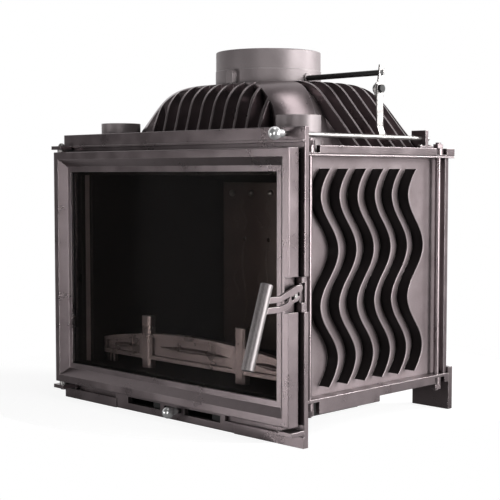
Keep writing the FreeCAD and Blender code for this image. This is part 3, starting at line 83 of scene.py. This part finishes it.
def iron_surface(name, dark, light, highlight_colour, grain_mm, roughness, flake=0.0,
                 shade_colour=deep_shade_black, flank_shade_axis=None):
    # Sand grain is well under a millimetre, and is drawn coarser here so that it shows.
    # Deep hollows get a painted shade or, where an axis is named, the flanks that turn away from that axis
    # do.
    material, surface = new_material(name)
    place = add_node(material, "ShaderNodeTexCoord").outputs["Object"]
    cloud = add_node(material, "ShaderNodeTexNoise", inputs={
        "Vector": place, "Scale": per_metre(cloud_mm), "Detail": 4.0, "Roughness": 0.6})
    grain = add_node(material, "ShaderNodeTexNoise", inputs={
        "Vector": place, "Scale": per_metre(grain_mm), "Detail": 3.0, "Roughness": 0.65})
    blend = add_node(material, "ShaderNodeMath", {"operation": "MULTIPLY_ADD"},
                     {0: grain.outputs["Fac"], 1: grain_share, 2: cloud.outputs["Fac"]})
    paint = add_node(material, "ShaderNodeValToRGB", inputs={"Fac": blend.outputs["Value"]})
    paint.color_ramp.elements[0].position = 0.45
    paint.color_ramp.elements[0].color = linear(dark)
    paint.color_ramp.elements[1].color = linear(light)

    # A lighter colour along the rounded edges is a painted highlight.
    soft_edge = add_node(material, "ShaderNodeBevel", {"samples": 6},
                         {"Radius": highlight_edge_radius}).outputs["Normal"]
    flat = add_node(material, "ShaderNodeNewGeometry").outputs["Normal"]
    facing = add_node(material, "ShaderNodeVectorMath", {"operation": "DOT_PRODUCT"}, {0: soft_edge, 1: flat})
    highlight_mask = add_node(material, "ShaderNodeMapRange", inputs={
        "Value": facing.outputs["Value"], "From Min": 0.995, "From Max": 0.88, "To Max": 0.8})
    highlighted = add_node(material, "ShaderNodeMix", {"data_type": "RGBA"}, {
        "Factor": highlight_mask.outputs["Result"], under: paint.outputs["Color"], over: linear(highlight_colour)})

    # Painted shade: hollows found by ambient occlusion, or flanks turned away from the named axis, darken.
    if flank_shade_axis:
        normal = add_node(material, "ShaderNodeTexCoord").outputs["Normal"]
        axis = add_node(material, "ShaderNodeSeparateXYZ", inputs={"Vector": normal}).outputs[flank_shade_axis]
        openness = add_node(material, "ShaderNodeMath", {"operation": "ABSOLUTE"}, {0: axis}).outputs["Value"]
        shade_from = 0.75
    else:
        openness = add_node(material, "ShaderNodeAmbientOcclusion", {"samples": 8},
                           {"Distance": shade_reach}).outputs["AO"]
        shade_from = 0.55
    painted_shade = add_node(material, "ShaderNodeMapRange", inputs={
        "Value": openness, "From Min": shade_from, "From Max": 0.25})
    colour = add_node(material, "ShaderNodeMix", {"data_type": "RGBA"}, {
        "Factor": painted_shade.outputs["Result"], under: highlighted.outputs[mixed], over: linear(shade_colour)})

    gloss = add_node(material, "ShaderNodeMapRange", inputs={
        "Value": cloud.outputs["Fac"], "From Min": 0.3, "From Max": 0.7,
        "To Min": roughness - 0.05, "To Max": roughness + 0.06})
    relief = add_node(material, "ShaderNodeBump", inputs={
        "Strength": 0.25, "Distance": grain_depth, "Height": grain.outputs["Fac"], "Normal": soft_edge})
    surface.inputs["Metallic"].default_value = flake
    links = material.node_tree.links
    links.new(colour.outputs[mixed], surface.inputs["Base Color"])
    links.new(gloss.outputs["Result"], surface.inputs["Roughness"])
    links.new(relief.outputs["Normal"], surface.inputs["Normal"])
    return material


graphite_paint = iron_surface("graphite_painted_cast_iron", "#73686a", "#887d7f", highlight_grey,
                              grain_mm=1.6, roughness=0.3, flake=0.85, shade_colour=shade_black)
finish_nodes(graphite_paint, "front_plate", "door_frame", "base_plate", "top_plate", "back_panel",
             "rear_leg_left", "rear_leg_right", "flue_hood", "rod_guide", "log_guard", "latch_lever",
             "latch_keeper", "keeper_screws", "tie_rods", "tie_rod_nuts")
# The fins' flanks get a painted shade.
finned_paint = iron_surface("graphite_painted_finned_iron", "#7a6e70", "#8f8385", highlight_grey,
                            grain_mm=1.6, roughness=0.33, flake=0.35, shade_colour=shade_black, flank_shade_axis="X")
finish_nodes(finned_paint, "side_panel_left", "side_panel_right")
# Collar and spigots: a lighter copy of the graphite paint, painted in for the stronger light that falls on
# them.
lit_copy_paint = iron_surface("graphite_paint_lit_copy", "#7f7678", "#948b8c", "#bdb6b6",
                            grain_mm=1.0, roughness=0.48, flake=0.45, shade_colour=shade_black)
finish_nodes(lit_copy_paint, "flue_collar", "air_spigot_left", "air_spigot_right")


# Firebox lining: side and back plates, baffle, hearth plate, grate and damper disc, and the walls of the
# front plate's mouth. Unpainted grey iron, rough to the touch. Soot has blackened it so that it hardly
# shines. The back plate gets a lighter, browner copy of it, which paints in the light that reaches it.
sooty_iron = iron_surface("sooty_cast_iron", "#141112", "#211d1d", "#4a4444", grain_mm=2.4, roughness=0.8)
sooty_iron.node_tree.nodes["Principled BSDF"].inputs["Specular IOR Level"].default_value = 0.1
finish_nodes(sooty_iron, "side_lining_left", "side_lining_right", "baffle_plate", "hearth_plate", "grate",
             "damper_disc")
lit_lining_iron = iron_surface("lining_iron_lit_copy", "#413635", "#544745", "#7d706d",
                            grain_mm=2.4, roughness=0.5)
finish_nodes(lit_lining_iron, "back_lining")

# The pane laps over the mouth by more than this all round,
# so the plate's faces further in are the mouth's walls.
pane_lap = 0.008
pane_low, pane_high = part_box("door_glass")
plate_mesh = nodes["front_plate"].data
plate_mesh.materials.append(sooty_iron)
for face in plate_mesh.polygons:
    if all(pane_low[i] + pane_lap < face.center[i] < pane_high[i] - pane_lap for i in (0, 2)):
        face.material_index = 1


# Black steel: air box, duct, slider, its rails and the glass clips, with the damper shaft and the link bolt.
# Mild steel, folded or turned, under matt black paint, nearly black, with a painted highlight at its edges.
black_steel = iron_surface("matt_black_sheet_steel", "#141313", "#1c1b1b", "#343232",
                           grain_mm=0.8, roughness=0.6)
finish_nodes(black_steel, "air_box", "air_wash_duct", "air_slider", "slider_rails", "glass_clips",
             "link_bolt", "damper_shaft")


# Rods, linkage, grip and fasteners: bright drawn and zinc-plated steel, satin, with faint draw marks.
# The rod slides in its guide, the upright is bolted to the crank, and the grip is welded to its lever.
draw_mark_mm = 1.2
worn_edge = 0.0008


def satin_steel(name, dark, light, roughness, stretch):
    # A small stretch along one axis draws the marks out along it.
    material, surface = new_material(name)
    place = add_node(material, "ShaderNodeTexCoord").outputs["Object"]
    along = add_node(material, "ShaderNodeMapping", inputs={"Vector": place, "Scale": stretch})
    marks = add_node(material, "ShaderNodeTexNoise", inputs={
        "Vector": along.outputs["Vector"], "Scale": per_metre(draw_mark_mm), "Detail": 3.0})
    tone = add_node(material, "ShaderNodeValToRGB", inputs={"Fac": marks.outputs["Fac"]})
    tone.color_ramp.elements[0].position = 0.3
    tone.color_ramp.elements[0].color = linear(dark)
    tone.color_ramp.elements[1].position = 0.7
    tone.color_ramp.elements[1].color = linear(light)
    gloss = add_node(material, "ShaderNodeMapRange", inputs={
        "Value": marks.outputs["Fac"], "From Min": 0.3, "From Max": 0.7,
        "To Min": roughness - 0.06, "To Max": roughness + 0.08})
    soft_edge = add_node(material, "ShaderNodeBevel", {"samples": 6}, {"Radius": worn_edge})
    surface.inputs["Metallic"].default_value = 1.0
    links = material.node_tree.links
    links.new(tone.outputs["Color"], surface.inputs["Base Color"])
    links.new(gloss.outputs["Result"], surface.inputs["Roughness"])
    links.new(soft_edge.outputs["Normal"], surface.inputs["Normal"])
    return material


drawn_steel = satin_steel("zinc_plated_steel", "#868382", "#b3b0ae", roughness=0.4, stretch=(1.0, 0.05, 1.0))
finish_nodes(drawn_steel, "damper_rod", "rod_upright", "damper_crank", "link_collar", "slider_stem",
             "lever_pin", "hinge_pins", "hinge_bushes", "collar_dowels", "rod_guide_screws", "lining_bolts",
             "lining_nuts", "lining_spacers", "leg_bolts", "plate_bolts", "clip_screws")
grip_steel = satin_steel("satin_steel_tube", "#7d7778", "#9a9595", roughness=0.5, stretch=(1.0, 1.0, 0.04))
finish_nodes(grip_steel, "handle_grip")


# Ball knobs: turned steel, chrome-plated and softly polished, so that the lamps show as small bright spots.
# One is screwed on the damper's rod and one on the air slider's stem.
chrome, chrome_surface = new_material("chrome_plate")
# Part of its white is diffuse, a painted reflection of the white studio that real chrome would mirror.
chrome_surface.inputs["Base Color"].default_value = linear("#f0f0f0")
chrome_surface.inputs["Metallic"].default_value = 0.65
chrome_surface.inputs["Roughness"].default_value = 0.2
finish_nodes(chrome, "damper_knob", "air_knob")


# Door pane: clear ceramic glass, ground on its edges, with a faint smoky tint. It lies on a gasket in the
# frame's rebate, and clips hold it from behind. It casts no shadow, so that lamplight reaches the firebox.
glass, glass_surface = new_material("clear_ceramic_glass")
glass_surface.inputs["Base Color"].default_value = linear("#d0cac4")
glass_surface.inputs["Roughness"].default_value = 0.02
glass_surface.inputs["IOR"].default_value = 1.54
glass_surface.inputs["Transmission Weight"].default_value = 1.0
shade = add_node(glass, "ShaderNodeLightPath").outputs["Is Shadow Ray"]
clear = add_node(glass, "ShaderNodeMath", {"operation": "SUBTRACT"}, {0: 1.0, 1: shade})
glass.node_tree.links.new(clear.outputs["Value"], glass_surface.inputs["Alpha"])
finish_nodes(glass, "door_glass")


# Rope seal and glass gasket: braided glass fibre, dyed dark grey, which shows as soft slanting strands.
# The rope is pressed into the door's groove, and the gasket lies between the pane and the frame.
braid_mm = 18
strand_relief = 0.001
rope, rope_surface = new_material("braided_glass_fibre")
rope_place = add_node(rope, "ShaderNodeTexCoord").outputs["Object"]
strands = add_node(rope, "ShaderNodeTexWave", {"bands_direction": "DIAGONAL"}, {
    "Vector": rope_place, "Scale": per_metre(braid_mm), "Distortion": 1.5, "Detail": 2.0})
rope_tone = add_node(rope, "ShaderNodeValToRGB", inputs={"Fac": strands.outputs["Fac"]})
rope_tone.color_ramp.elements[0].color = linear("#1e1d1d")
rope_tone.color_ramp.elements[1].color = linear("#3b3939")
rope_relief = add_node(rope, "ShaderNodeBump", inputs={
    "Strength": 0.6, "Distance": strand_relief, "Height": strands.outputs["Fac"]})
rope_surface.inputs["Roughness"].default_value = 0.85
rope.node_tree.links.new(rope_tone.outputs["Color"], rope_surface.inputs["Base Color"])
rope.node_tree.links.new(rope_relief.outputs["Normal"], rope_surface.inputs["Normal"])
finish_nodes(rope, "door_rope", "glass_gasket")


# Floor: a round sheet of white paper. It is white to the camera and through the glass, shows faintly in
# metal, keeps the object's shadow, and throws little light back up at the insert.
floor_radius = 0.62
floor_middle = (-0.2, 0.26, 0)
paper_seen = linear("#8a8a8a")
paper_unseen = linear("#5a5a5a")
glow_seen = 0.9
glow_in_metal = 0.12
white_light = (1.0, 1.0, 1.0, 1.0)
pane_faces = 2.5


def light_paths(owner):
    # The first value is 1 for a ray straight from the camera, also through the pane's two faces.
    # The second is 1 for a ray that metal or paint mirrors.
    sight = add_node(owner, "ShaderNodeLightPath")
    near = add_node(owner, "ShaderNodeMath", {"operation": "LESS_THAN"},
                    {0: sight.outputs["Ray Depth"], 1: pane_faces})
    through = add_node(owner, "ShaderNodeMath", {"operation": "MULTIPLY"},
                       {0: sight.outputs["Is Transmission Ray"], 1: near.outputs["Value"]})
    straight = add_node(owner, "ShaderNodeMath", {"operation": "MAXIMUM"},
                        {0: sight.outputs["Is Camera Ray"], 1: through.outputs["Value"]})
    return straight.outputs["Value"], sight.outputs["Is Glossy Ray"]


bpy.ops.object.select_all(action="DESELECT")
bpy.ops.mesh.primitive_circle_add(vertices=96, radius=floor_radius, fill_type="NGON", location=floor_middle)
floor = bpy.context.object
floor.name = "floor"
floor_paper, floor_surface = new_material("white_paper")
floor_surface.inputs["Roughness"].default_value = 0.9
floor_surface.inputs["Specular IOR Level"].default_value = 0.0
floor_surface.inputs["Emission Color"].default_value = white_light
seen, mirrored = light_paths(floor_paper)
paper = add_node(floor_paper, "ShaderNodeMix", {"data_type": "RGBA"},
                 {"Factor": seen, under: paper_unseen, over: paper_seen})
glow = add_node(floor_paper, "ShaderNodeMath", {"operation": "MULTIPLY"}, {0: seen, 1: glow_seen})
metal_glow = add_node(floor_paper, "ShaderNodeMath", {"operation": "MULTIPLY"},
                      {0: mirrored, 1: glow_in_metal})
white = add_node(floor_paper, "ShaderNodeMath", {"operation": "MAXIMUM"},
                 {0: glow.outputs["Value"], 1: metal_glow.outputs["Value"]})
floor_paper.node_tree.links.new(paper.outputs[mixed], floor_surface.inputs["Base Color"])
floor_paper.node_tree.links.new(white.outputs["Value"], floor_surface.inputs["Emission Strength"])
floor.data.materials.append(floor_paper)


# Backdrop: a white cove that the camera and the glass see all round. In metal and paint it shows where it
# stands, behind the insert, and fades to the dim room in front.
cove_direction = (-0.7, 0.7, 0.1)
dim_room = 0.02
world = bpy.data.worlds.new("studio")
bpy.context.scene.world = world
world.use_nodes = True
backdrop = world.node_tree.nodes["Background"]
backdrop.inputs["Color"].default_value = white_light
world_seen, world_mirrored = light_paths(world)
direction = add_node(world, "ShaderNodeTexCoord").outputs["Generated"]
towards_cove = add_node(world, "ShaderNodeVectorMath", {"operation": "DOT_PRODUCT"},
                        {0: direction, 1: cove_direction})
cove = add_node(world, "ShaderNodeMapRange", inputs={
    "Value": towards_cove.outputs["Value"], "From Min": 0.15, "From Max": 0.7, "To Min": dim_room})
cove_in_metal = add_node(world, "ShaderNodeMath", {"operation": "MULTIPLY"},
                         {0: world_mirrored, 1: cove.outputs["Result"]})
cove_white = add_node(world, "ShaderNodeMath", {"operation": "MAXIMUM"},
                      {0: world_seen, 1: cove_in_metal.outputs["Value"]})
level = add_node(world, "ShaderNodeMath", {"operation": "MAXIMUM"},
                 {0: cove_white.outputs["Value"], 1: dim_room})
world.node_tree.links.new(level.outputs["Value"], backdrop.inputs["Strength"])


# Studio lamps: soft boxes, each aimed at the middle of the insert. The side and rear ones shape the collar
# and the flank, the left one shades the front from right to left, and the rest lift the bevels and the hood.
insert_middle = (0, 0, 0.33)


def soft_box(name, azimuth, distance, height, size, watts):
    # The azimuth is counted from the front, positive to the right.
    turn = math.radians(azimuth)
    lamp = bpy.data.lights.new(name, "AREA")
    lamp.shape = "RECTANGLE"
    lamp.size, lamp.size_y = size
    lamp.energy = watts
    stand = bpy.data.objects.new(name, lamp)
    bpy.context.scene.collection.objects.link(stand)
    stand.location = (distance * math.sin(turn), -distance * math.cos(turn), height)
    aim = mathutils.Vector(insert_middle) - stand.location
    stand.rotation_euler = aim.to_track_quat("-Z", "Y").to_euler()


soft_box("side_box", azimuth=104, distance=2.4, height=0.5, size=(0.8, 1.2), watts=58)
soft_box("rear_box", azimuth=142, distance=2.2, height=1.3, size=(0.6, 1.0), watts=44)
soft_box("left_box", azimuth=-25, distance=2.2, height=0.05, size=(0.35, 1.0), watts=13)
soft_box("fill_box", azimuth=35, distance=2.3, height=0.35, size=(0.3, 1.0), watts=10)
soft_box("low_box", azimuth=128, distance=2.4, height=-0.1, size=(0.7, 1.0), watts=2.6)
soft_box("top_box", azimuth=60, distance=0.5, height=2.4, size=(0.7, 0.7), watts=9)


# Camera: at the photograph's place, with a long lens, a little above the middle of the door.
camera_place = (1.5758, -1.5399, 0.4407)
camera_fall = math.radians(3.669)
camera_turn = math.radians(44.912)
sensor_mm = 36.0
lens_mm = 84.505
camera_data = bpy.data.cameras.new("camera")
camera_data.sensor_width = sensor_mm
camera_data.lens = lens_mm
camera = bpy.data.objects.new("camera", camera_data)
bpy.context.scene.collection.objects.link(camera)
camera.location = camera_place
camera.rotation_euler = (math.pi / 2 - camera_fall, 0, camera_turn)
bpy.context.scene.camera = camera
bpy.context.scene.view_settings.view_transform = "Standard"
